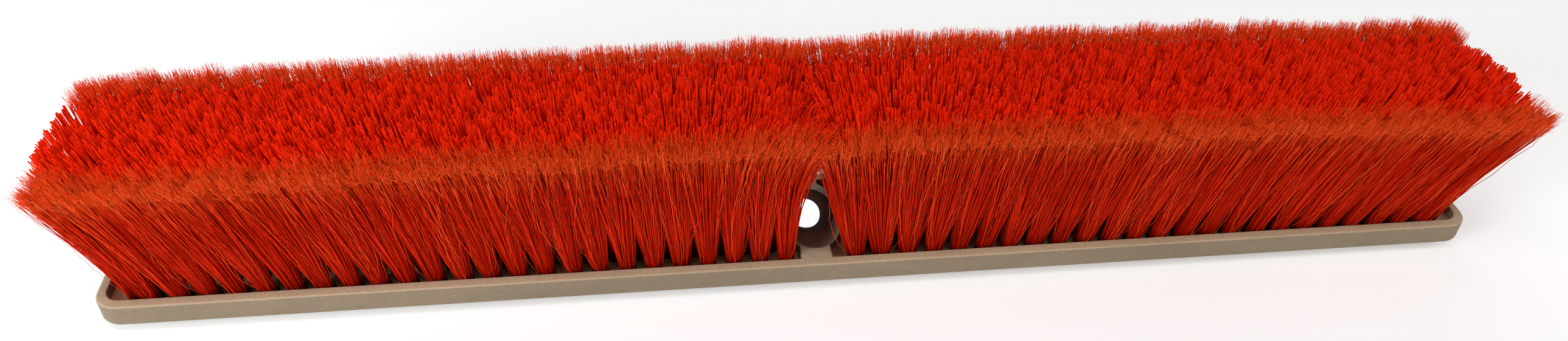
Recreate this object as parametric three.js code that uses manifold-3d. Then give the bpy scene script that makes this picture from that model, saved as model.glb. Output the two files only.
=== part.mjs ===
// Push broom head, lying on its back with the bristles up.
// Millimetres, +Z up. Origin: bottom centre of the block, X along the head,
// Y across it, Z from the back of the block towards the bristle tips.
import * as THREE from 'three';
import { mergeVertices } from 'three/addons/utils/BufferGeometryUtils.js';
import Module from 'manifold-3d';

const wasm = await Module();
wasm.setup();

// ---------------------------------------------------------------- dimensions
const LENGTH = 610;            // block, nominal 24 in head
const WIDTH = 63.5;            // block, 2 1/2 in
const RIM_TOP = 15;            // top of the rim and of the centre web
const EDGE_LOW = 4;            // lower edge of the upright face; the back is crowned below it
const CROWN_IN = 14;           // how far in the flat land of the back starts
const CORNER_R = 10.5;         // plan radius of the block's corners
const POCKET_FLOOR = 10.5;     // floor of the two recesses that the tufts stand in
const RIM_END = 4;             // rim width at the two ends
const RIM_SIDE = 5;            // rim width along front and back
const POCKET_R = 6.5;

const WEB_X = -2.5;            // centre web and boss between the two recesses
const NECK_HALF = 7;
const BOSS_AX = 15.5;
const BOSS_AY = 23.5;
const BOSS_Y = 3;

const BORE_X = -1.5;           // handle socket, a tapered bore right through the boss
const BORE_EXIT_Y = 21.3;      // where its axis leaves the back, at z = 0
const BORE_TILT = 48;          // degrees between its axis and the block
const BORE_EXIT_R = 7;
const BORE_TAPER = 11;         // half angle, degrees, widening towards the bristle side
const DISH_X = -1.8;           // dished relief in front of the mouth
const DISH_Y = -9;
const DISH_R = 12;
const DISH_DEPTH = 3.6;

const PITCH = 11.556;          // tufts along a row
const FIRST_X = 15.75;         // first tuft each side of the centre gap
const ROW_Y = 22.8;            // border rows; six rows in all
const ROW_STEP = (2 * ROW_Y) / 5;
const END_X = 289.5;           // corner tufts, set back round the corner
const END_SET_BACK = 2.3;
const HOLE_R = 3.5;
const HOLE_DEPTH = 7;
const TUFT_R = 2.5;            // tuft at its root, inside the hole
const TRIM = 76;               // bristle length above the recess floor, 3 in
const MERGE_Z = 21;            // the height where the spreading tufts of a row touch
const FLARE_X = 19;            // how far the end tufts lean outwards at their tips
const FLARE_Y = 11.5;          // the same for the border rows
const GAP = 0.3;

// ---------------------------------------------------------------- helpers
function toSolid(geometry) {
  const g = geometry.clone();
  g.deleteAttribute('normal');
  g.deleteAttribute('uv');
  const m = mergeVertices(g, 1e-4);
  const mesh = new wasm.Mesh({
    numProp: 3,
    vertProperties: new Float32Array(m.attributes.position.array),
    triVerts: new Uint32Array(m.index.array),
  });
  return new wasm.Manifold(mesh);
}

function toGeometry(solid) {
  const mesh = solid.getMesh();
  const g = new THREE.BufferGeometry();
  g.setAttribute('position', new THREE.BufferAttribute(new Float32Array(mesh.vertProperties), 3));
  g.setIndex(new THREE.BufferAttribute(new Uint32Array(mesh.triVerts), 1));
  g.computeVertexNormals();
  return g;
}

function union(list) {
  return list.reduce((a, b) => a.add(b));
}

// rounded rectangle as a ring of points, the same count for every size
function roundedRing(hx, hy, r, n = 5) {
  const pts = [];
  const corners = [[1, -1, -90], [1, 1, 0], [-1, 1, 90], [-1, -1, 180]];
  for (const [sx, sy, a0] of corners) {
    for (let i = 0; i < n; i++) {
      const a = THREE.MathUtils.degToRad(a0 + (90 * i) / (n - 1));
      pts.push([sx * (hx - r) + r * Math.cos(a), sy * (hy - r) + r * Math.sin(a)]);
    }
  }
  return pts;
}

// closed loft through rings of equal point count, lowest first
function loft(rings) {
  const n = rings[0].length;
  const pos = rings.flat(2);
  const idx = [];
  for (let k = 0; k + 1 < rings.length; k++) {
    for (let i = 0; i < n; i++) {
      const a = k * n + i;
      const b = k * n + ((i + 1) % n);
      idx.push(a, b, b + n, a, b + n, a + n);
    }
  }
  const top = (rings.length - 1) * n;
  for (let i = 1; i + 1 < n; i++) {
    idx.push(0, i + 1, i);
    idx.push(top, top + i, top + i + 1);
  }
  const g = new THREE.BufferGeometry();
  g.setAttribute('position', new THREE.BufferAttribute(new Float32Array(pos), 3));
  g.setIndex(idx);
  return g;
}

function extrudedRing(points, z0, z1) {
  const shape = new THREE.Shape(points.map(([x, y]) => new THREE.Vector2(x, y)));
  const g = new THREE.ExtrudeGeometry(shape, { depth: z1 - z0, bevelEnabled: false, curveSegments: 1 });
  g.translate(0, 0, z0);
  return g;
}

// prism with a ring of n corners at two centres, tapering from r0 to r1
function spoke(p0, r0, p1, r1, n, turn = 0) {
  const ring = (p, r) => Array.from({ length: n }, (_, i) => {
    const a = turn + (2 * Math.PI * i) / n;
    return [p[0] + r * Math.cos(a), p[1] + r * Math.sin(a), p[2]];
  });
  return loft([ring(p0, r0), ring(p1, r1)]);
}

// lean of a bristle whose foot on the recess floor is at (u, v)
const leanX = (u) => (FLARE_X * u) / END_X;
const leanY = (v) => (FLARE_Y * v) / ROW_Y;
const tipZ = (u, v) => POCKET_FLOOR + Math.sqrt(TRIM ** 2 - leanX(u) ** 2 - leanY(v) ** 2) - 1.5 * (u / END_X) ** 2;
function along(u, v, z) {
  const t = (z - POCKET_FLOOR) / (tipZ(u, v) - POCKET_FLOOR);
  return [u + leanX(u) * t, v + leanY(v) * t, z];
}

// ---------------------------------------------------------------- tuft layout
// Six rows, mirrored front to back. The second row from each border is staggered.
const rowY = (r) => -ROW_Y + r * ROW_STEP;
const BOSS_KEEP = HOLE_R + 1.2;
function clearOfBoss(x, y) {
  const dx = (x - WEB_X) / (BOSS_AX + BOSS_KEEP);
  const dy = (y - BOSS_Y) / (BOSS_AY + BOSS_KEEP - 2.5);
  return dx * dx + dy * dy > 1;
}
function rowTufts(r, side) {
  const y = rowY(r);
  const border = r === 0 || r === 5;
  const stagger = r === 1 || r === 4;
  const list = [];
  for (let i = 0; i < 25; i++) {
    let x = FIRST_X + (stagger ? PITCH / 2 : 0) + PITCH * i;
    let v = y;
    if (border && i === 24) { x = END_X; v = y - Math.sign(y) * END_SET_BACK; }
    if (stagger && i === 23) { x = 284.4; v = y - Math.sign(y) * 1.4; }
    if (stagger && i > 23) continue;
    if (x > 294) continue;
    if (!border && !clearOfBoss(side * x, y)) continue;
    list.push([side * x, v]);
  }
  return list;
}

const material = (color, roughness, metalness = 0) => new THREE.MeshStandardMaterial({ color, roughness, metalness });
const group = new THREE.Group();
function place(name, geometry, mat) {
  const mesh = new THREE.Mesh(geometry, mat);
  mesh.name = name;
  group.add(mesh);
}

const TAN = 0xc2ab8e;
const BORDER = 0xd9542a;
const CORE = 0xc4310f;
const STEEL = 0x9a9c9e;

// ---------------------------------------------------------------- block
const hx = LENGTH / 2;
const hy = WIDTH / 2;
const ringAt = (z, inset) => roundedRing(hx - inset, hy - inset, Math.max(CORNER_R - inset, 2.5)).map(([x, y]) => [x, y, z]);
let block = toSolid(loft([
  ringAt(0, CROWN_IN),
  ringAt(EDGE_LOW, 1.4),
  ringAt(EDGE_LOW + 1.4, 0),
  ringAt(RIM_TOP - 0.7, 0),
  ringAt(RIM_TOP, 0.7),
]));

const pocketRing = roundedRing(hx - RIM_END, hy - RIM_SIDE, POCKET_R);
let pockets = toSolid(extrudedRing(pocketRing, POCKET_FLOOR, RIM_TOP + 5));
const boss = new THREE.CylinderGeometry(1, 1, 20, 28);
boss.rotateX(Math.PI / 2);
boss.scale(BOSS_AX, BOSS_AY, 1);
boss.translate(WEB_X, BOSS_Y, POCKET_FLOOR);
const neck = new THREE.BoxGeometry(2 * NECK_HALF, WIDTH, 20);
neck.translate(WEB_X, 0, POCKET_FLOOR);
pockets = pockets.subtract(toSolid(boss)).subtract(toSolid(neck));
block = block.subtract(pockets);

// handle socket: tapered bore along a sloping axis
const tilt = THREE.MathUtils.degToRad(BORE_TILT);
const boreDir = new THREE.Vector3(0, -Math.cos(tilt), Math.sin(tilt));
const boreHalf = 34;
const boreSlope = Math.tan(THREE.MathUtils.degToRad(BORE_TAPER));
const bore = new THREE.CylinderGeometry(
  BORE_EXIT_R + boreHalf * boreSlope, BORE_EXIT_R - boreHalf * boreSlope, 2 * boreHalf, 28);
bore.applyQuaternion(new THREE.Quaternion().setFromUnitVectors(new THREE.Vector3(0, 1, 0), boreDir));
bore.translate(BORE_X, BORE_EXIT_Y, 0);
block = block.subtract(toSolid(bore));

// dished relief in front of the mouth
const dish = new THREE.CylinderGeometry(DISH_R + 0.9, DISH_R - 6.5, DISH_DEPTH + 0.5, 24);
dish.rotateX(Math.PI / 2);
dish.translate(DISH_X, DISH_Y, RIM_TOP + 0.5 - (DISH_DEPTH + 0.5) / 2);
block = block.subtract(toSolid(dish));

// blind tuft holes, drilled along each tuft's own lean
const holes = [];
for (let r = 0; r < 6; r++) {
  for (const side of [-1, 1]) {
    for (const [u, v] of rowTufts(r, side)) {
      holes.push(toSolid(spoke(
        along(u, v, POCKET_FLOOR - HOLE_DEPTH), HOLE_R, along(u, v, POCKET_FLOOR + 1.5), HOLE_R, 6)));
    }
  }
}
block = block.subtract(union(holes));
place('broom_block', toGeometry(block), material(TAN, 0.7));

// ---------------------------------------------------------------- tufts
// A tuft group is the tufts of a stretch of one row: a root in each hole, and one
// body above the height where the spreading tufts touch.
const ROOT_Z = POCKET_FLOOR - HOLE_DEPTH + GAP;
const ANCHOR_Z = ROOT_Z + 1.3;
function tuftGroup(r, tufts, uStart, uEnd, anchored) {
  const hs = ROW_STEP / 2 - 0.2;
  const y = rowY(r);
  let v0 = y - hs;
  let v1 = y + hs;
  if (r === 0) v0 = y - 3.6;
  if (r === 5) v1 = y + 3.6;
  const us = [uStart, uStart + (uEnd - uStart) * 0.483, uEnd];
  if (us[0] > us[2]) us.reverse();
  const ring = (u, innerTop) => {
    const t0 = along(u, v0, MERGE_Z);
    const t1 = along(u, v1, MERGE_Z);
    const z0 = tipZ(u, v0);
    const z1 = tipZ(u, v1);
    const p0 = along(u, v0, z0);
    const p1 = along(u, v1, z1);
    if (innerTop) { p0[0] *= innerTop; p1[0] *= innerTop; }
    return [t0, t1, p1, p0];
  };
  const inner = Math.abs(uStart) < 14 ? 0.6 : 0;
  const rings = us.map((u) => ring(u, Math.abs(u - uStart) < 1e-6 ? inner : 0));
  const pos = rings.flat(2);
  const idx = [];
  for (let k = 0; k < 2; k++) {
    for (let i = 0; i < 4; i++) {
      const a = k * 4 + i;
      const b = k * 4 + ((i + 1) % 4);
      idx.push(a, b, b + 4, a, b + 4, a + 4);
    }
  }
  idx.push(0, 2, 1, 0, 3, 2, 8, 9, 10, 8, 10, 11);
  const g = new THREE.BufferGeometry();
  g.setAttribute('position', new THREE.BufferAttribute(new Float32Array(pos), 3));
  g.setIndex(idx);
  let solid = toSolid(g);
  const spread = r === 0 || r === 5 ? 0.3 : 0.7;   // border tufts stay narrow beside the rim
  if (solid.volume() < 0) throw new Error('inside out');
  solid = solid.add(union(tufts.map(([u, v], i) => toSolid(spoke(
    along(u, v, ROOT_Z), TUFT_R, along(u, v, MERGE_Z + 2), TUFT_R + spread, 4, 0.2 + 0.07 * ((i * 7) % 5))))));
  if (anchored) {
    const [u, v] = tufts[0];
    const c = along(u, v, ANCHOR_Z + 0.9);
    const slot = new THREE.BoxGeometry(12, 1.5, 2.4);
    slot.translate(c[0], c[1], c[2]);
    solid = solid.subtract(toSolid(slot));
  }
  return solid;
}

const ROW_NAMES = ['front_border', 'front_second', 'front_middle', 'back_middle', 'back_second', 'back_border'];
for (let r = 0; r < 6; r++) {
  for (const side of [-1, 1]) {
    const tufts = rowTufts(r, side);
    const half = Math.ceil(tufts.length / 2);
    const sideName = side < 0 ? 'left' : 'right';
    const border = r === 0 || r === 5;
    const mat = () => (border ? material(BORDER, 0.75) : material(CORE, 0.6));
    const split = (Math.abs(tufts[half - 1][0]) + Math.abs(tufts[half][0])) / 2;
    const start = Math.abs(tufts[0][0]) - PITCH / 2 + 0.4;
    const end = Math.abs(tufts[tufts.length - 1][0]) + 3.4;
    place(`tufts_${ROW_NAMES[r]}_${sideName}_inner`,
      toGeometry(tuftGroup(r, tufts.slice(0, half), side * start, side * (split - GAP / 2), true)), mat());
    place(`tufts_${ROW_NAMES[r]}_${sideName}_outer`,
      toGeometry(tuftGroup(r, tufts.slice(half), side * (split + GAP / 2), side * end, false)), mat());
    const [u, v] = tufts[0];
    const c = along(u, v, ANCHOR_Z + 0.9);
    const anchor = new THREE.BoxGeometry(5.8, 0.9, 1.8);
    anchor.translate(c[0], c[1], c[2]);
    place(`staple_anchor_${ROW_NAMES[r]}_${sideName}`, anchor, material(STEEL, 0.35, 1));
  }
}

export default group;
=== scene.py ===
# Push broom head, bristles up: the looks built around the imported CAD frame.
import math

import bmesh
import bpy
import numpy as np
from mathutils import Matrix, Vector


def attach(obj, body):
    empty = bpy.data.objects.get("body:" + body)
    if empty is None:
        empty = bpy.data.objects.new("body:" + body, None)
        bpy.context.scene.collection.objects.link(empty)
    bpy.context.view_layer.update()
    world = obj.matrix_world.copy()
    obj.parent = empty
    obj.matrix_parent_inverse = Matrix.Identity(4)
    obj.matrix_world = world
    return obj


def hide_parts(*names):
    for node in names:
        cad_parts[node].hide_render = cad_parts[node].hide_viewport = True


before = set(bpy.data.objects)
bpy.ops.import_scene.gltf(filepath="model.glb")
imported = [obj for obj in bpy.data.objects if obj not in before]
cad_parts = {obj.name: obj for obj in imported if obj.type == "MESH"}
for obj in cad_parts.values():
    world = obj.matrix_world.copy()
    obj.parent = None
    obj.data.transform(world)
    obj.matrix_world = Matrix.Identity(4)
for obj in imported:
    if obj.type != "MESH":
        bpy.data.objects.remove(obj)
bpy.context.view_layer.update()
SEED = 41
MM = 0.001

# ------------------------------------------------------------------ sizes (metres), as in the CAD part
LENGTH, WIDTH = 0.610, 0.0635
RIM_TOP, EDGE_LOW, CROWN_IN = 0.015, 0.004, 0.014
CORNER_R, POCKET_FLOOR, RIM_END, RIM_SIDE, POCKET_R = 0.0105, 0.0105, 0.004, 0.005, 0.0065
WEB_X, NECK_HALF, BOSS_AX, BOSS_AY, BOSS_Y = -0.0025, 0.007, 0.0155, 0.0235, 0.003
BORE_X, BORE_EXIT_Y, BORE_TILT, BORE_EXIT_R, BORE_TAPER = -0.0015, 0.0213, 48.0, 0.007, 11.0
DISH_X, DISH_Y, DISH_R, DISH_DEPTH = -0.0018, -0.009, 0.012, 0.0036
PITCH, FIRST_X, ROW_Y = 0.011556, 0.01575, 0.0228
ROW_STEP = 2 * ROW_Y / 5
END_X, END_SET_BACK = 0.2895, 0.0023
HOLE_R, HOLE_DEPTH = 0.0035, 0.007
TRIM, FLARE_X, FLARE_Y = 0.076, 0.019, 0.0115

# ------------------------------------------------------------------ camera, first of all
cam_data = bpy.data.cameras.new("camera")
cam = bpy.data.objects.new("camera", cam_data)
bpy.context.scene.collection.objects.link(cam)
right = Vector((0.99236, -0.11976, 0.02962))
up = Vector((0.05229, 0.62582, 0.77821))
back = -Vector((0.11174, 0.77072, -0.62730))
rot = Matrix((right, up, back)).transposed().to_4x4()
cam.matrix_world = Matrix.Translation(Vector((-0.07499, -0.41417, 0.38054))) @ rot
cam_data.sensor_fit = "HORIZONTAL"
cam_data.sensor_width = 36.0
cam_data.lens = 36.0 * 2000.0 / 2576.0
cam_data.clip_start, cam_data.clip_end = 0.01, 20
bpy.context.scene.camera = cam


# ------------------------------------------------------------------ material helpers
def new_material(name):
    mat = bpy.data.materials.new(name)
    mat.use_nodes = True
    nt = mat.node_tree
    bsdf = nt.nodes["Principled BSDF"]
    return mat, nt, bsdf


def noise(nt, scale, detail=3.0, rough=0.55, vec=None):
    n = nt.nodes.new("ShaderNodeTexNoise")
    n.inputs["Scale"].default_value = scale
    n.inputs["Detail"].default_value = detail
    n.inputs["Roughness"].default_value = rough
    if vec is not None:
        nt.links.new(vec, n.inputs["Vector"])
    return n


def ramp(nt, fac, stops):
    r = nt.nodes.new("ShaderNodeValToRGB")
    els = r.color_ramp.elements
    while len(els) < len(stops):
        els.new(0.5)
    for e, (p, c) in zip(els, stops):
        e.position = p
        e.color = (*c, 1.0)
    nt.links.new(fac, r.inputs["Fac"])
    return r


def mapped(nt, scale):
    co = nt.nodes.new("ShaderNodeTexCoord")
    mp = nt.nodes.new("ShaderNodeMapping")
    mp.inputs["Scale"].default_value = scale
    nt.links.new(co.outputs["Object"], mp.inputs["Vector"])
    return mp.outputs["Vector"]


def mix_rgb(nt, kind, fac, a, b):
    m = nt.nodes.new("ShaderNodeMix")
    m.data_type = "RGBA"
    m.blend_type = kind
    if isinstance(fac, float):
        m.inputs[0].default_value = fac
    else:
        nt.links.new(fac, m.inputs[0])
    for sock, val in ((m.inputs[6], a), (m.inputs[7], b)):
        if isinstance(val, tuple):
            sock.default_value = (*val, 1.0)
        else:
            nt.links.new(val, sock)
    return m.outputs[2]


def bristle_material(name, root, low, tip, dark, light, rough):
    """Filament colour: a shade per strand, deepening towards the root as painted shade low between the tufts, and paler
    at the tip as a painted glow of the translucent filament ends.
    """
    mat, nt, bsdf = new_material(name)
    strand = nt.nodes.new("ShaderNodeAttribute")
    strand.attribute_name = "shade"
    along = nt.nodes.new("ShaderNodeAttribute")
    along.attribute_name = "along"
    base = ramp(nt, along.outputs["Fac"], [(0.05, root), (0.36, low), (0.78, low), (0.97, tip)])
    shade = ramp(nt, strand.outputs["Fac"], [(0.0, dark), (0.5, (1.0, 1.0, 1.0)), (1.0, light)])
    c = mix_rgb(nt, "MULTIPLY", 1.0, base.outputs["Color"], shade.outputs["Color"])
    streak = noise(nt, 1.0, 2.0, 0.5, mapped(nt, (900, 900, 60)))
    streak_c = ramp(nt, streak.outputs["Fac"], [(0.3, (0.86, 0.80, 0.78)), (0.7, (1.10, 1.14, 1.18))])
    c = mix_rgb(nt, "MULTIPLY", 1.0, c, streak_c.outputs["Color"])
    nt.links.new(c, bsdf.inputs["Base Color"])
    r = nt.nodes.new("ShaderNodeMapRange")
    r.inputs["To Min"].default_value = rough - 0.10
    r.inputs["To Max"].default_value = rough + 0.12
    nt.links.new(streak.outputs["Fac"], r.inputs["Value"])
    nt.links.new(r.outputs["Result"], bsdf.inputs["Roughness"])
    bsdf.inputs["IOR"].default_value = 1.50
    bsdf.inputs["Specular IOR Level"].default_value = 0.07
    bsdf.inputs["Specular Tint"].default_value = (1.0, 0.22, 0.08, 1.0)
    return mat


def block_material():
    mat, nt, bsdf = new_material("block_plastic")
    v = mapped(nt, (1, 1, 1))
    broad = noise(nt, 14.0, 4.0, 0.6, v)
    swirl = noise(nt, 1.0, 5.0, 0.65, mapped(nt, (22, 70, 70)))      # faint flow marks of foamed plastic
    grain = noise(nt, 900.0, 3.0, 0.6, v)
    pore = noise(nt, 2600.0, 2.0, 0.7, v)
    c = ramp(nt, broad.outputs["Fac"], [(0.25, (0.432, 0.325, 0.214)), (0.75, (0.500, 0.382, 0.256))]).outputs["Color"]
    s = ramp(nt, swirl.outputs["Fac"], [(0.35, (0.93, 0.92, 0.90)), (0.65, (1.05, 1.05, 1.06))]).outputs["Color"]
    c = mix_rgb(nt, "MULTIPLY", 1.0, c, s)
    g = ramp(nt, grain.outputs["Fac"], [(0.3, (0.90, 0.89, 0.87)), (0.7, (1.08, 1.08, 1.09))]).outputs["Color"]
    c = mix_rgb(nt, "MULTIPLY", 1.0, c, g)
    bsdf.inputs["Specular IOR Level"].default_value = 0.28
    # painted shade: the handle socket's mouth and the dish around it are darkened, and the recess floors are darkened
    # and reddened with painted red bounce light from the bristles
    tilt = math.radians(BORE_TILT)
    off = nt.nodes.new("ShaderNodeVectorMath")
    off.operation = "SUBTRACT"
    nt.links.new(v, off.inputs[0])
    off.inputs[1].default_value = (BORE_X, BORE_EXIT_Y, 0.0)
    cross = nt.nodes.new("ShaderNodeVectorMath")
    cross.operation = "CROSS_PRODUCT"
    nt.links.new(off.outputs[0], cross.inputs[0])
    cross.inputs[1].default_value = (0.0, -math.cos(tilt), math.sin(tilt))
    dist = nt.nodes.new("ShaderNodeVectorMath")
    dist.operation = "LENGTH"
    nt.links.new(cross.outputs[0], dist.inputs[0])
    near = nt.nodes.new("ShaderNodeMapRange")
    near.interpolation_type = "SMOOTHSTEP"
    near.inputs["From Min"].default_value = 0.0155
    near.inputs["From Max"].default_value = 0.0090
    nt.links.new(dist.outputs["Value"], near.inputs["Value"])
    sep = nt.nodes.new("ShaderNodeSeparateXYZ")
    nt.links.new(v, sep.inputs[0])
    low = nt.nodes.new("ShaderNodeMapRange")
    low.inputs["From Min"].default_value = 0.0149
    low.inputs["From Max"].default_value = 0.0138
    nt.links.new(sep.outputs["Z"], low.inputs["Value"])
    socket_shade = nt.nodes.new("ShaderNodeMath")
    socket_shade.operation = "MULTIPLY"
    nt.links.new(near.outputs["Result"], socket_shade.inputs[0])
    nt.links.new(low.outputs["Result"], socket_shade.inputs[1])
    # painted shade, dark red-brown, near the socket's axis below the rim top
    c = mix_rgb(nt, "MULTIPLY", socket_shade.outputs[0], c, (0.30, 0.105, 0.055))
    # painted shade, darker and browner, in the dish around the socket's mouth below the rim top
    dish_off = nt.nodes.new("ShaderNodeVectorMath")
    dish_off.operation = "MULTIPLY_ADD"
    nt.links.new(v, dish_off.inputs[0])
    dish_off.inputs[1].default_value = (1.0, 1.0, 0.0)
    dish_off.inputs[2].default_value = (-DISH_X, -DISH_Y, 0.0)
    dish_r = nt.nodes.new("ShaderNodeVectorMath")
    dish_r.operation = "LENGTH"
    nt.links.new(dish_off.outputs[0], dish_r.inputs[0])
    dish_f = nt.nodes.new("ShaderNodeMapRange")
    dish_f.interpolation_type = "SMOOTHSTEP"
    dish_f.inputs["From Min"].default_value = 0.0135
    dish_f.inputs["From Max"].default_value = 0.0070
    nt.links.new(dish_r.outputs["Value"], dish_f.inputs["Value"])
    dish_m = nt.nodes.new("ShaderNodeMath")
    dish_m.operation = "MULTIPLY"
    nt.links.new(dish_f.outputs["Result"], dish_m.inputs[0])
    nt.links.new(low.outputs["Result"], dish_m.inputs[1])
    c = mix_rgb(nt, "MULTIPLY", dish_m.outputs[0], c, (0.50, 0.28, 0.19))
    # painted red bounce light and shade: up-facing surfaces below the rim top are darkened and reddened
    geo = nt.nodes.new("ShaderNodeNewGeometry")
    sn = nt.nodes.new("ShaderNodeSeparateXYZ")
    nt.links.new(geo.outputs["Normal"], sn.inputs[0])
    facing = nt.nodes.new("ShaderNodeMapRange")
    facing.inputs["From Min"].default_value = 0.35
    facing.inputs["From Max"].default_value = 0.75
    nt.links.new(sn.outputs["Z"], facing.inputs["Value"])
    deep = nt.nodes.new("ShaderNodeMapRange")
    deep.inputs["From Min"].default_value = 0.0140
    deep.inputs["From Max"].default_value = 0.0112
    nt.links.new(sep.outputs["Z"], deep.inputs["Value"])
    floor_f = nt.nodes.new("ShaderNodeMath")
    floor_f.operation = "MULTIPLY"
    nt.links.new(facing.outputs["Result"], floor_f.inputs[0])
    nt.links.new(deep.outputs["Result"], floor_f.inputs[1])
    c = mix_rgb(nt, "MULTIPLY", floor_f.outputs[0], c, (1.0, 0.70, 0.58))
    # painted light and shade: the upright faces are darker and greyer than the up-facing top, which is kept lighter
    c = mix_rgb(nt, "MULTIPLY", facing.outputs["Result"], mix_rgb(nt, "MULTIPLY", 1.0, c, (0.515, 0.52, 0.50)), (1.91, 1.86, 1.92))
    nt.links.new(c, bsdf.inputs["Base Color"])
    r = nt.nodes.new("ShaderNodeMapRange")
    r.inputs["To Min"].default_value = 0.46
    r.inputs["To Max"].default_value = 0.68
    nt.links.new(grain.outputs["Fac"], r.inputs["Value"])
    nt.links.new(r.outputs["Result"], bsdf.inputs["Roughness"])
    bump = nt.nodes.new("ShaderNodeBump")
    bump.inputs["Strength"].default_value = 0.35
    bump.inputs["Distance"].default_value = 0.00025
    add = nt.nodes.new("ShaderNodeMath")
    add.operation = "ADD"
    nt.links.new(grain.outputs["Fac"], add.inputs[0])
    nt.links.new(pore.outputs["Fac"], add.inputs[1])
    nt.links.new(add.outputs[0], bump.inputs["Height"])
    nt.links.new(bump.outputs["Normal"], bsdf.inputs["Normal"])
    return mat


def socket_material():
    """The handle socket's wall: the same plastic, dark red-brown as painted shade with painted red bounce light inside
    the socket, and matt.
    """
    mat, nt, bsdf = new_material("socket_wall")
    v = mapped(nt, (1, 1, 1))
    n = noise(nt, 160.0, 4.0, 0.6, v)
    fine = noise(nt, 1400.0, 2.0, 0.6, v)
    c = ramp(nt, n.outputs["Fac"], [(0.3, (0.042, 0.011, 0.0045)), (0.7, (0.085, 0.026, 0.011))])
    f = ramp(nt, fine.outputs["Fac"], [(0.3, (0.85, 0.84, 0.82)), (0.7, (1.12, 1.12, 1.12))])
    col = mix_rgb(nt, "MULTIPLY", 1.0, c.outputs["Color"], f.outputs["Color"])
    nt.links.new(col, bsdf.inputs["Base Color"])
    r = nt.nodes.new("ShaderNodeMapRange")
    r.inputs["To Min"].default_value = 0.80
    r.inputs["To Max"].default_value = 0.98
    nt.links.new(n.outputs["Fac"], r.inputs["Value"])
    nt.links.new(r.outputs["Result"], bsdf.inputs["Roughness"])
    bsdf.inputs["Specular IOR Level"].default_value = 0.06
    bump = nt.nodes.new("ShaderNodeBump")
    bump.inputs["Strength"].default_value = 0.3
    bump.inputs["Distance"].default_value = 0.0002
    nt.links.new(fine.outputs["Fac"], bump.inputs["Height"])
    nt.links.new(bump.outputs["Normal"], bsdf.inputs["Normal"])
    return mat


def steel_material():
    mat, nt, bsdf = new_material("anchor_wire")
    n = noise(nt, 1.0, 3.0, 0.6, mapped(nt, (200, 4000, 4000)))
    c = ramp(nt, n.outputs["Fac"], [(0.3, (0.42, 0.42, 0.43)), (0.7, (0.66, 0.66, 0.67))])
    nt.links.new(c.outputs["Color"], bsdf.inputs["Base Color"])
    bsdf.inputs["Metallic"].default_value = 1.0
    r = nt.nodes.new("ShaderNodeMapRange")
    r.inputs["To Min"].default_value = 0.25
    r.inputs["To Max"].default_value = 0.5
    nt.links.new(n.outputs["Fac"], r.inputs["Value"])
    nt.links.new(r.outputs["Result"], bsdf.inputs["Roughness"])
    return mat


# ------------------------------------------------------------------ tuft layout, as in the CAD part
def row_y(r):
    return -ROW_Y + r * ROW_STEP


def clear_of_boss(x, y):
    keep = HOLE_R + 0.0012
    dx = (x - WEB_X) / (BOSS_AX + keep)
    dy = (y - BOSS_Y) / (BOSS_AY + keep - 0.0025)
    return dx * dx + dy * dy > 1


def row_tufts(r, side):
    y = row_y(r)
    border = r in (0, 5)
    stagger = r in (1, 4)
    sgn = 1 if y > 0 else -1
    out = []
    for i in range(25):
        x, v = FIRST_X + (PITCH / 2 if stagger else 0) + PITCH * i, y
        if border and i == 24:
            x, v = END_X, y - sgn * END_SET_BACK
        if stagger and i == 23:
            x, v = 0.2844, y - sgn * 0.0014
        if (stagger and i > 23) or x > 0.294:
            continue
        if not border and not clear_of_boss(side * x, y):
            continue
        out.append((side * x, v))
    return out


def lean_x(u):
    return FLARE_X * u / END_X


def lean_y(v):
    return FLARE_Y * v / ROW_Y


# ------------------------------------------------------------------ block: one moulded piece
def rounded_ring(hx, hy, r, n):
    pts = []
    for sx, sy, a0 in ((1, -1, -90), (1, 1, 0), (-1, 1, 90), (-1, -1, 180)):
        for i in range(n):
            a = math.radians(a0 + 90 * i / (n - 1))
            pts.append((sx * (hx - r) + r * math.cos(a), sy * (hy - r) + r * math.sin(a)))
    return pts


def mesh_object(name, verts, faces):
    me = bpy.data.meshes.new(name)
    me.from_pydata(verts, [], faces)
    ob = bpy.data.objects.new(name, me)
    bpy.context.scene.collection.objects.link(ob)
    return ob


def loft_object(name, rings):
    n = len(rings[0])
    verts = [p for ring in rings for p in ring]
    faces = [list(range(n))[::-1]]
    for k in range(len(rings) - 1):
        for i in range(n):
            a, b = k * n + i, k * n + (i + 1) % n
            faces.append([a, b, b + n, a + n])
    faces.append([(len(rings) - 1) * n + i for i in range(n)])
    return mesh_object(name, verts, faces)


def boolean(target, tool, op="DIFFERENCE"):
    m = target.modifiers.new("cut", "BOOLEAN")
    m.operation = op
    m.solver = "EXACT"
    m.object = tool
    bpy.context.view_layer.objects.active = target
    bpy.ops.object.modifier_apply(modifier=m.name)
    bpy.data.objects.remove(tool, do_unlink=True)


def arc(n):
    return [i / n * math.pi / 2 for i in range(n + 1)]


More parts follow.
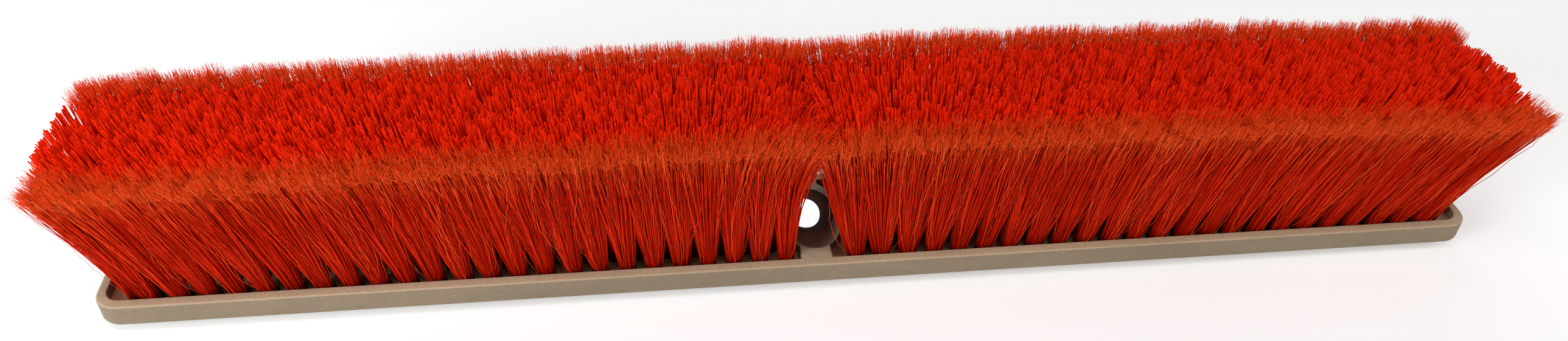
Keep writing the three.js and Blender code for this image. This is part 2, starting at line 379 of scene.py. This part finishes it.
def make_block():
    hx, hy = LENGTH / 2, WIDTH / 2
    n = 14

    def ring(z, inset):
        return [(x, y, z) for x, y in rounded_ring(hx - inset, hy - inset, max(CORNER_R - inset, 0.0025), n)]

    rings = [ring(0.0, CROWN_IN + 0.002), ring(0.00012, CROWN_IN + 0.0008), ring(0.0004, CROWN_IN - 0.0008)]
    rings += [ring(0.0026, 0.0058), ring(0.0036, 0.0026)]
    r = 0.0019                                     # rounded lower edge of the upright face
    for a in arc(5):
        rings.append(ring(EDGE_LOW + r - r * math.cos(a) + 0.0003, r - r * math.sin(a)))
    r = 0.0011                                     # and the upper one
    for a in arc(5):
        rings.append(ring(RIM_TOP - r + r * math.sin(a), r - r * math.cos(a)))
    block = loft_object("block_moulding", rings)

    # the two recesses, with a drafted wall, a rounded lip and a small fillet at the floor
    web = []
    for side in (-1, 1):
        outline = []
        m = 72
        x_in = lambda y: max(NECK_HALF, BOSS_AX * math.sqrt(max(0.0, 1 - ((y - BOSS_Y) / BOSS_AY) ** 2)))
        ys = [(-1 + 2 * i / (m - 1)) * (hy - RIM_SIDE) for i in range(m)]
        inner = [(WEB_X + side * x_in(y), y) for y in ys]
        outer = rounded_ring(hx - RIM_END, hy - RIM_SIDE, POCKET_R, 12)
        if side > 0:
            outer = [p for p in outer if p[0] > 0]         # front right corner, then back right
            outline = outer + [p for p in reversed(inner)]
        else:
            outer = [p for p in outer if p[0] < 0]         # back left, then front left
            outline = outer + inner
        web.append(outline)

    def offset(loop, d):
        """Moves a counter-clockwise loop outwards by d, along its vertex normals."""
        p = np.array(loop)
        e = np.roll(p, -1, 0) - p
        e /= np.linalg.norm(e, axis=1)[:, None]
        nrm = np.stack([e[:, 1], -e[:, 0]], 1)
        v = nrm + np.roll(nrm, 1, 0)
        v /= np.maximum(np.linalg.norm(v, axis=1)[:, None], 1e-9)
        c = np.clip((v * nrm).sum(1), 0.6, 1)
        return p + v * (d / c)[:, None]

    for k, outline in enumerate(web):
        rr = []
        zf, zt = POCKET_FLOOR, RIM_TOP
        f = 0.0007
        for a in arc(4):                            # fillet at the floor
            rr.append((zf + f - f * math.cos(a), -0.0004 - f + f * math.sin(a)))
        lip = 0.0007
        for a in arc(4):                            # rounded lip
            rr.append((zt - lip + lip * math.sin(a), lip - lip * math.cos(a)))
        rr.append((zt + 0.002, lip + 0.0001))
        rings2 = [[(x, y, z) for x, y in offset(outline, d)] for z, d in rr]
        boolean(block, loft_object("recess", rings2))

    # dished relief, with a soft lip
    seg = 56
    rings3 = []
    for t in [i / 9 for i in range(10)]:
        rad = 0.0035 + (DISH_R - 0.0035) * t
        z = RIM_TOP - DISH_DEPTH * (1 - t ** 1.6) + (0.0001 if t == 1 else 0)
        rings3.append([(DISH_X + rad * math.cos(2 * math.pi * i / seg), DISH_Y + rad * math.sin(2 * math.pi * i / seg), z)
                       for i in range(seg)])
    rings3.append([(DISH_X + (DISH_R + 0.001) * math.cos(2 * math.pi * i / seg),
                    DISH_Y + (DISH_R + 0.001) * math.sin(2 * math.pi * i / seg), RIM_TOP + 0.0016) for i in range(seg)])
    boolean(block, loft_object("dish", rings3))

    # tapered handle socket
    tilt = math.radians(BORE_TILT)
    ax = Vector((0, -math.cos(tilt), math.sin(tilt)))
    e1 = Vector((1, 0, 0))
    e2 = ax.cross(e1)
    slope = math.tan(math.radians(BORE_TAPER))
    rings4 = []
    for s in (-0.030, 0.0, 0.010, 0.034):
        c = Vector((BORE_X, BORE_EXIT_Y, 0)) + ax * s
        rad = BORE_EXIT_R + s * slope
        rings4.append([tuple(c + e1 * rad * math.cos(2 * math.pi * i / 64) + e2 * rad * math.sin(2 * math.pi * i / 64))
                       for i in range(64)])
    boolean(block, loft_object("bore", rings4))

    # blind tuft holes
    verts, faces = [], []
    for r in range(6):
        for side in (-1, 1):
            for u, v in row_tufts(r, side):
                d = Vector((lean_x(u), lean_y(v), 0.0745))
                lo = Vector((u, v, POCKET_FLOOR)) - d * (HOLE_DEPTH / 0.0745)
                hi = Vector((u, v, POCKET_FLOOR)) + d * (0.0012 / 0.0745)
                k = 16
                o = len(verts)
                for c in (lo, hi):
                    verts += [(c.x + HOLE_R * math.cos(2 * math.pi * i / k), c.y + HOLE_R * math.sin(2 * math.pi * i / k), c.z)
                              for i in range(k)]
                faces.append([o + i for i in range(k)][::-1])
                faces.append([o + k + i for i in range(k)])
                faces += [[o + i, o + (i + 1) % k, o + k + (i + 1) % k, o + k + i] for i in range(k)]
    boolean(block, mesh_object("drills", verts, faces))

    me = block.data
    bm = bmesh.new()
    bm.from_mesh(me)
    bmesh.ops.remove_doubles(bm, verts=bm.verts, dist=1e-6)
    bmesh.ops.dissolve_degenerate(bm, dist=1e-7, edges=bm.edges)
    bmesh.ops.triangulate(bm, faces=[f for f in bm.faces if len(f.verts) > 4])
    for f in bm.faces:
        f.smooth = True
        p = f.calc_center_median() - Vector((BORE_X, BORE_EXIT_Y, 0))
        s = p.dot(ax)
        if abs((p - ax * s).length - (BORE_EXIT_R + s * slope)) < 0.0003 and abs(f.normal.dot(ax)) < 0.4:
            f.material_index = 1
    for e in bm.edges:
        e.smooth = not (len(e.link_faces) == 2 and e.calc_face_angle(0) > math.radians(28))
    socket = [f.material_index for f in bm.faces]
    bm.to_mesh(me)
    bm.free()
    me.materials.clear()
    me.materials.append(block_material())
    me.materials.append(socket_material())
    for poly, k in zip(me.polygons, socket):
        poly.material_index = k
    return block


# ------------------------------------------------------------------ filaments
def strands_mesh(name, paths, radii, shade, material, taper, sides=3):
    """One mesh of many filaments. paths: (strands, rings, 3); radii: (strands,); taper: radius factor of each ring."""
    n, m, _ = paths.shape
    tan = np.empty_like(paths)
    tan[:, 1:-1] = paths[:, 2:] - paths[:, :-2]
    tan[:, 0] = paths[:, 1] - paths[:, 0]
    tan[:, -1] = paths[:, -1] - paths[:, -2]
    tan /= np.linalg.norm(tan, axis=2)[..., None]
    ref = np.zeros_like(tan)
    ref[..., 0] = 1.0
    e1 = ref - (ref * tan).sum(2)[..., None] * tan
    e1 /= np.linalg.norm(e1, axis=2)[..., None]
    e2 = np.cross(tan, e1)
    turn = (shade * 37.0)[:, None, None] + np.arange(sides)[None, None, :] * (2 * math.pi / sides)
    rad = radii[:, None, None, None] * np.asarray(taper)[None, :, None, None]
    co = paths[:, :, None, :] + rad * (np.cos(turn)[..., None] * e1[:, :, None, :] + np.sin(turn)[..., None] * e2[:, :, None, :])
    co = co.reshape(-1, 3)
    base = (np.arange(n) * m * sides)[:, None, None]
    k = (np.arange(m - 1) * sides)[None, :, None]
    s = np.arange(sides)[None, None, :]
    s1 = (np.arange(sides) + 1)[None, None, :] % sides
    quads = np.stack([base + k + s, base + k + s1, base + k + s1 + sides, base + k + s + sides], -1).reshape(-1, 4)
    b = np.arange(n) * m * sides
    bot = np.stack([b + i for i in reversed(range(sides))], -1)
    top = np.stack([b + (m - 1) * sides + i for i in range(sides)], -1)
    me = bpy.data.meshes.new(name)
    nv, nq, nt = len(co), len(quads), len(bot) + len(top)
    me.vertices.add(nv)
    me.vertices.foreach_set("co", co.astype(np.float32).ravel())
    loops = np.concatenate([quads.ravel(), bot.ravel(), top.ravel()]).astype(np.int32)
    me.loops.add(len(loops))
    me.loops.foreach_set("vertex_index", loops)
    start = np.concatenate([np.arange(nq) * 4, nq * 4 + np.arange(nt) * sides]).astype(np.int32)
    me.polygons.add(nq + nt)
    me.polygons.foreach_set("loop_start", start)
    me.update(calc_edges=True)
    me.polygons.foreach_set("use_smooth", np.concatenate([np.ones(nq, bool), np.zeros(nt, bool)]))
    a = me.attributes.new("shade", "FLOAT", "POINT")
    a.data.foreach_set("value", np.repeat(shade, m * sides).astype(np.float32))
    t = np.linspace(0, 1, m)
    a = me.attributes.new("along", "FLOAT", "POINT")
    a.data.foreach_set("value", np.tile(np.repeat(t, sides), n).astype(np.float32))
    me.validate()
    ob = bpy.data.objects.new(name, me)
    bpy.context.scene.collection.objects.link(ob)
    me.materials.append(material)
    return ob


def disc(rng, n):
    """Points of a unit disc, evenly spread with a little disorder."""
    i = np.arange(n)
    r = np.sqrt((i + 0.5) / n)
    a = i * 2.399963 + rng.uniform(0, 6.28)
    p = np.stack([r * np.cos(a), r * np.sin(a)], 1)
    return p + rng.normal(0, 0.05, (n, 2))


# where the two halves meet at the tips, row by row: the filaments of the left half, then of the right half
SEAM_X = ((0.0010, -0.0040), (0.0012, -0.0030), (0.0000, -0.0022), (-0.0014, -0.0036), (-0.0028, -0.0050), (-0.0036, -0.0060))


def closing(ax, first, seam):
    """How far a tip at distance ax from the middle moves inwards, so that the field closes over the handle socket."""
    edge = first - PITCH / 2
    gap = max(edge - seam, 0.0)
    span = 4.5 * PITCH
    k = np.clip((ax - edge) / span, -0.15, 1)
    return gap * (1 - np.maximum(k, 0)) ** 1.6 * (k < 1)


def tip_spread(q, r, sgn_x, last):
    """Where in its cell each filament's tip lies: the outer faces of the brush stay neat, the inside spreads."""
    wx = np.where(sgn_x * q[:, 0] > 0, (0.0022 if last else 0.0084), (0.0098 if last else 0.0084))
    if r == 0:
        wx = wx * 1.25
        wy = np.where(q[:, 1] < 0, 0.0026, 0.0122)
    elif r == 5:
        wx = wx * 1.25
        wy = np.where(q[:, 1] > 0, 0.0036, 0.0128)
    elif r == 4:
        wy = np.where(q[:, 1] > 0, 0.0092, 0.0106)
    elif r == 3:
        wy = np.where(q[:, 1] > 0, 0.0106, 0.0094)
    elif r == 2:
        wy = np.where(q[:, 1] > 0, 0.0102, 0.0088)
    else:
        wy = np.full(len(q), 0.0084)
    return wx * q[:, 0], wy * q[:, 1]


def tuft_paths(rng, u, v, r, count, rings, first, last):
    """Centre lines of one tuft's filaments: tight at the hole, spreading until the tufts of the field touch."""
    border = r in (0, 5)
    q = disc(rng, count)
    sgn = 1.0 if u > 0 else -1.0
    r0 = 0.0029
    sx, sy = tip_spread(q, r, sgn, last)
    jit = 0.0009 if border else 0.0006
    end = min(abs(u) / END_X, 1.0)
    trim_x = -sgn * (0.0010 if sgn < 0 else -0.0036, -0.0044, 0.0022, 0.0048, 0.0012, 0.0)[r] * min(max((abs(u) - 0.250) / 0.040, 0.0), 1.0)
    if r == 0:
        extra_y = -0.0046 * end ** 2.2
    elif r == 1:
        extra_y = -0.0030 * end ** 2.2
    elif r == 5:
        extra_y = 0.0084 - 0.0036 * end ** 3 + 0.0010 * sgn * (1 - end ** 3)
    elif r == 4:
        extra_y = 0.0064 - 0.0016 * end ** 2
    elif r == 3:
        extra_y = 0.0034
    else:
        extra_y = 0.0
    ex = lean_x(u) + trim_x + rng.normal(0, 0.0006) + sx + rng.normal(0, jit, count)
    ey = lean_y(v) + extra_y + rng.normal(0, 0.0004) + sy + rng.normal(0, jit, count)
    drop = np.zeros(count)
    if not border:
        # stiff filaments stand in little bundles of uneven height
        groups = 17
        centre = q[rng.choice(count, groups, replace=False)]
        which = np.argmin(((q[:, None, :] - centre[None, :, :]) ** 2).sum(2), 1)
        for g in range(groups):
            m = which == g
            if m.any():
                pull = rng.uniform(0.15, 0.50)
                ex[m] += (ex[m].mean() - ex[m]) * pull
                ey[m] += (ey[m].mean() - ey[m]) * pull
                drop[m] = np.clip(rng.normal(0.0006, 0.0011), -0.0010, 0.0034)
        drop += np.abs(rng.normal(0, 0.0009, count))
    else:
        # each tuft was cut a little unevenly, and its inner filaments stand tallest
        drop = np.abs(rng.normal(0, 0.0015, count)) - (0.0010 if r == 0 else 0.0016) + rng.normal(0, 0.0006)
        drop = drop - 0.0006 * np.sin(3.0 * q[:, 0] + rng.uniform(0, 6.28))
    length = TRIM - drop
    t = np.linspace(0, 1, rings)[None, :]
    start = 0.004
    x0, y0 = u + r0 * q[:, 0], v + r0 * q[:, 1]
    ax = np.abs(x0 + ex)
    shift = -sgn * closing(ax, first, sgn * SEAM_X[r][0 if sgn < 0 else 1])
    late = 1.15 if r > 1 else (1.0 if sgn > 0 else 4.0)
    full_x = ex - r0 * q[:, 0]
    full_y = ey - r0 * q[:, 1]
    power = np.full(count, 1.17 if border else 1.08)
    if last:
        power[sgn * q[:, 0] > 0] = 1.50
    if r < 2 and sgn < 0 and abs(u) < first + 0.001:
        power[q[:, 0] > 0] = 3.6                   # this tuft's inner side stands straight beside the socket
    dx = full_x[:, None] * t ** power[:, None] + shift[:, None] * t ** late
    dy = full_y[:, None] * t ** (1.12 if border else 1.05)
    bow = rng.normal(0, 0.0007 if border else 0.0005, (count, 2))
    dx = dx + bow[:, :1] * np.sin(math.pi * t)
    dy = dy + bow[:, 1:] * np.sin(math.pi * t) * (0.5 if border else 1.0)
    if border:
        ph = rng.uniform(0, 6.28, (count, 4))
        amp = 0.00030 * rng.lognormal(0, 0.5, count)[:, None]
        grow = 0.25 + t ** 2
        grow = grow * np.minimum(t * 4, 1)
        dx = dx + amp * grow * (np.sin(9.0 * t + ph[:, :1]) + 0.8 * np.sin(21.0 * t + ph[:, 1:2]))
        dy = dy + amp * grow * (np.sin(8.0 * t + ph[:, 2:3]) + 0.8 * np.sin(23.0 * t + ph[:, 3:]))
    lx, ly = ex + shift, ey
    h = np.sqrt(np.maximum(length ** 2 - np.minimum(lx ** 2, 0.021 ** 2) - ly ** 2, 1e-6)) - 0.0015 * (u / END_X) ** 2
    z = POCKET_FLOOR + (h[:, None] + start) * t - start
    return np.stack([x0[:, None] + dx, y0[:, None] + dy, z + np.zeros_like(dx)], -1)


def resample(paths, n):
    """The same curves with n points each."""
    m = paths.shape[1]
    f = np.linspace(0, m - 1.0001, n)
    i = f.astype(int)
    w = (f - i)[None, :, None]
    p0, p1, p2, p3 = (paths[:, np.clip(i + k, 0, m - 1)] for k in (-1, 0, 1, 2))
    return 0.5 * (2 * p1 + (p2 - p0) * w + (2 * p0 - 5 * p1 + 4 * p2 - p3) * w ** 2 + (3 * p1 - p0 - 3 * p2 + p3) * w ** 3)


def make_group(r, side, part, materials):
    """One CAD group of tufts as filaments: part 0 is the half nearer the handle socket."""
    rng = np.random.default_rng(SEED + 100 * r + (side > 0) * 7 + part * 3)
    border = r in (0, 5)
    tufts = row_tufts(r, side)
    half = math.ceil(len(tufts) / 2)
    first = abs(tufts[0][0]) + lean_x(abs(tufts[0][0]))
    mine = tufts[:half] if part == 0 else tufts[half:]
    count = 185 if border else 90
    rings = 8 if border else 5
    paths, shades = [], []
    for u, v in mine:
        k = tufts.index((u, v))
        n = int(count * (1.35 if k == 0 else 1.15 if k < 3 else 1.0))
        paths.append(tuft_paths(rng, u, v, r, n, rings, first, k == len(tufts) - 1))
        shades.append(np.clip(rng.normal(0.5, 0.20, n) + rng.uniform(-0.10, 0.10), 0.0, 1.0))
    paths = np.concatenate(paths)
    shade = np.concatenate(shades)
    n = len(paths)
    if border:
        radii = rng.uniform(0.00014, 0.00020, n)
        taper = [1.0] * (rings - 2) + [0.85, 0.40]
    else:
        radii = rng.uniform(0.00031, 0.00040, n)
        taper = [1.0] * (rings - 1) + [0.88]
    fill = None
    if border:
        # the inside of each tuft, a little thicker and shorter, so that no gap shows black
        inner, inner_shade = [], []
        for u, v in mine:
            k = tufts.index((u, v))
            p = tuft_paths(rng, u, v, r, 34, rings, first, k == len(tufts) - 1)
            p = resample(p[:, :-1], 6)
            inner.append(p)
            inner_shade.append(rng.uniform(0.2, 0.7, 34))
        fill = (np.concatenate(inner), np.concatenate(inner_shade))
    name = "bristles_%s_%s_%s" % (ROW_NAMES[r], "left" if side < 0 else "right", "inner" if part == 0 else "outer")
    own = 0 if r == 0 else 4 if r == 5 else 1
    ob = strands_mesh(name, paths, radii, shade, materials[own], taper)
    if border:
        mass = strands_mesh(name + "_inner", fill[0], rng.uniform(0.00032, 0.00044, len(fill[0])), fill[1], materials[0],
                            [1.0, 1.0, 1.0, 0.95, 0.8, 0.5])
        # flagged tips: each filament splits into finer, curling hairs over its last tenth
        hairs = []
        copies = 3
        for k in range(copies):
            a = paths[:, -2] * 0.55 + paths[:, -1] * 0.45
            d = paths[:, -1] - paths[:, -2]
            d /= np.linalg.norm(d, axis=1)[:, None]
            reach = rng.uniform(0.0020, 0.0038, n)[:, None]
            side_way = rng.normal(0, 1, (n, 3)) * np.array([1, 1, 0.3])
            curl = rng.normal(0, 1, (n, 3)) * np.array([1, 1, 0.4])
            p1 = a + d * reach * 0.40 + side_way * 0.00030
            p2 = a + d * reach * 0.75 + side_way * 0.00062 + curl * 0.0003
            p3 = a + d * reach * 1.0 + side_way * 0.00075 + curl * 0.0008
            hairs.append(np.stack([a, p1, p2, p3], 1))
        hair = np.concatenate(hairs)
        hs = np.clip(np.tile(shade, copies) * 0.7 + rng.normal(0.25, 0.15, len(hair)), 0, 1)
        flags = strands_mesh(name + "_flags", hair, rng.uniform(0.00007, 0.00011, len(hair)), hs, materials[2 if r == 0 else 4],
                             [1.0, 0.9, 0.8, 0.4])
        # crimped stray filaments that stand off the outer face
        m = (9 if r == 0 else 3) * len(mine)
        turns = 30
        sgn = -1 if r == 0 else 1
        outer = np.argsort(sgn * (paths[:, -1, 1] - paths[:, 0, 1]) + rng.normal(0, 0.0020, n))[::-1][: n // 3]
        pick = rng.choice(outer, m)
        st = resample(paths[pick], turns)
        t = np.linspace(0, 1, turns)[None, :]
        ph = rng.uniform(0, 6.28, (m, 5))
        big = rng.uniform(0.0003, 0.0022, m)[:, None] * rng.choice([1, 1, 1, 1.8], m)[:, None]
        fine = rng.uniform(0.00010, 0.00030, m)[:, None]
        wave = rng.uniform(34, 62, m)[:, None]
        ramp_in = np.minimum(t * 5, 1)
        st[:, :, 0] += (big * (np.sin(5.5 * t + ph[:, :1]) - np.sin(ph[:, :1])) + fine * np.sin(wave * t + ph[:, 2:3])) * ramp_in
        st[:, :, 1] += sgn * (0.00035 + np.abs(0.7 * big * np.sin(4.2 * t + ph[:, 1:2]))) * ramp_in
        st[:, :, 1] += fine * np.sin(wave * 0.9 * t + ph[:, 3:4]) * ramp_in
        stray = strands_mesh(name + "_strays", st, rng.uniform(0.00007, 0.00011, m), np.clip(rng.normal(0.8, 0.2, m), 0, 1),
                             materials[3], [1.0] * (turns - 1) + [0.5])
        bpy.ops.object.select_all(action="DESELECT")
        for o in (flags, stray, mass, ob):
            o.select_set(True)
        bpy.context.view_layer.objects.active = ob
        bpy.ops.object.join()
    return ob


ROW_NAMES = ["front_border", "front_second", "front_middle", "back_middle", "back_second", "back_border"]

block = make_block()
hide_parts("broom_block")
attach(block, "root")

# each material's root colour is dark as painted shade low in the tufts, and its tip colour paler as a painted glow of
# the filament ends
border_mat = bristle_material("border_bristle", (0.36, 0.005, 0.0006), (0.64, 0.0160, 0.0013), (0.86, 0.068, 0.009),
                              (0.90, 0.76, 0.72), (1.04, 1.28, 1.35), 0.55)
core_mat = bristle_material("core_bristle", (0.16, 0.0018, 0.0003), (0.62, 0.0055, 0.0004), (0.88, 0.0195, 0.0014),
                            (0.78, 0.60, 0.55), (1.08, 1.45, 1.5), 0.42)
flag_mat = bristle_material("border_flags", (0.90, 0.058, 0.008), (0.91, 0.100, 0.016), (0.93, 0.150, 0.030),
                            (0.86, 0.72, 0.66), (1.05, 1.40, 1.5), 0.6)
back_mat = bristle_material("back_flags", (0.70, 0.016, 0.0016), (0.84, 0.030, 0.0032), (0.92, 0.066, 0.0090),
                            (0.80, 0.66, 0.60), (1.05, 1.45, 1.6), 0.6)
stray_mat = bristle_material("border_strays", (0.90, 0.030, 0.004), (0.95, 0.075, 0.014), (0.96, 0.15, 0.040),
                             (0.90, 0.70, 0.65), (1.03, 1.40, 1.5), 0.5)
mats = (border_mat, core_mat, flag_mat, stray_mat, back_mat)
for r in range(6):
    for side in (-1, 1):
        for part in (0, 1):
            ob = make_group(r, side, part, mats)
            tag = "%s_%s_%s" % (ROW_NAMES[r], "left" if side < 0 else "right", "inner" if part == 0 else "outer")
            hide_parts("tufts_" + tag)
            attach(ob, "root")

steel = steel_material()
for name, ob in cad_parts.items():
    if name.startswith("staple_anchor"):
        ob.data.materials.clear()
        ob.data.materials.append(steel)


# ------------------------------------------------------------------ floor and light
def floor_material():
    mat, nt, bsdf = new_material("floor")
    n = noise(nt, 3.0, 3.0, 0.5, mapped(nt, (1, 1, 1)))
    c = ramp(nt, n.outputs["Fac"], [(0.3, (0.80, 0.80, 0.80)), (0.7, (0.83, 0.83, 0.83))])
    nt.links.new(c.outputs["Color"], bsdf.inputs["Base Color"])
    bsdf.inputs["Roughness"].default_value = 0.8
    bsdf.inputs["Emission Color"].default_value = (1.0, 1.0, 1.0, 1.0)
    # a lit tabletop, so shadows stay pale, with a painted pool of light, a stronger glow, on the spot that shows
    # through the handle socket
    co = nt.nodes.new("ShaderNodeTexCoord")
    d = nt.nodes.new("ShaderNodeVectorMath")
    d.operation = "DISTANCE"
    nt.links.new(co.outputs["Object"], d.inputs[0])
    d.inputs[1].default_value = (BORE_X, BORE_EXIT_Y - 0.001, 0.0)
    lit = nt.nodes.new("ShaderNodeMapRange")
    lit.inputs["From Min"].default_value = 0.0098
    lit.inputs["From Max"].default_value = 0.0108
    lit.inputs["To Min"].default_value = 0.95
    lit.inputs["To Max"].default_value = 0.30
    nt.links.new(d.outputs["Value"], lit.inputs["Value"])
    nt.links.new(lit.outputs["Result"], bsdf.inputs["Emission Strength"])
    return mat


floor = mesh_object("floor", [(-6, -6, 0), (6, -6, 0), (6, 6, 0), (-6, 6, 0)], [[0, 1, 2, 3]])
floor.data.materials.append(floor_material())


def area(name, loc, target, size, power, color=(1, 1, 1)):
    d = bpy.data.lights.new(name, "AREA")
    d.shape = "RECTANGLE"
    d.size, d.size_y = size
    d.energy = power
    d.color = color
    o = bpy.data.objects.new(name, d)
    bpy.context.scene.collection.objects.link(o)
    o.location = loc
    o.rotation_euler = (Vector(target) - Vector(loc)).to_track_quat("-Z", "Y").to_euler()
    return o


area("key", (-0.18, -0.42, 1.52), (0, 0, 0.05), (1.3, 0.5), 6.8, (1.0, 0.985, 0.96))
area("left_fill", (-0.74, -0.52, 0.38), (-0.28, 0, 0.05), (0.4, 0.4), 6.2, (0.92, 0.97, 1.0))
area("right_fill", (0.80, -0.42, 0.60), (0.28, 0, 0.05), (0.5, 0.4), 2.6, (1.0, 0.99, 0.96))
area("front_fill", (0.5, -1.6, 0.7), (0, 0, 0.05), (1.8, 0.9), 1.0, (0.97, 0.98, 1.0))
area("back_low", (0.0, 1.10, 0.62), (0, 0, 0.0), (1.8, 0.30), 4.5, (1.0, 1.0, 1.0))
world = bpy.data.worlds.new("world")
bpy.context.scene.world = world
bpy.context.scene.view_settings.view_transform = "Standard"
world.use_nodes = True
bg = world.node_tree.nodes.get("Background") or world.node_tree.nodes.new("ShaderNodeBackground")
bg.inputs["Color"].default_value = (0.95, 0.97, 1.0, 1.0)
bg.inputs["Strength"].default_value = 0.21
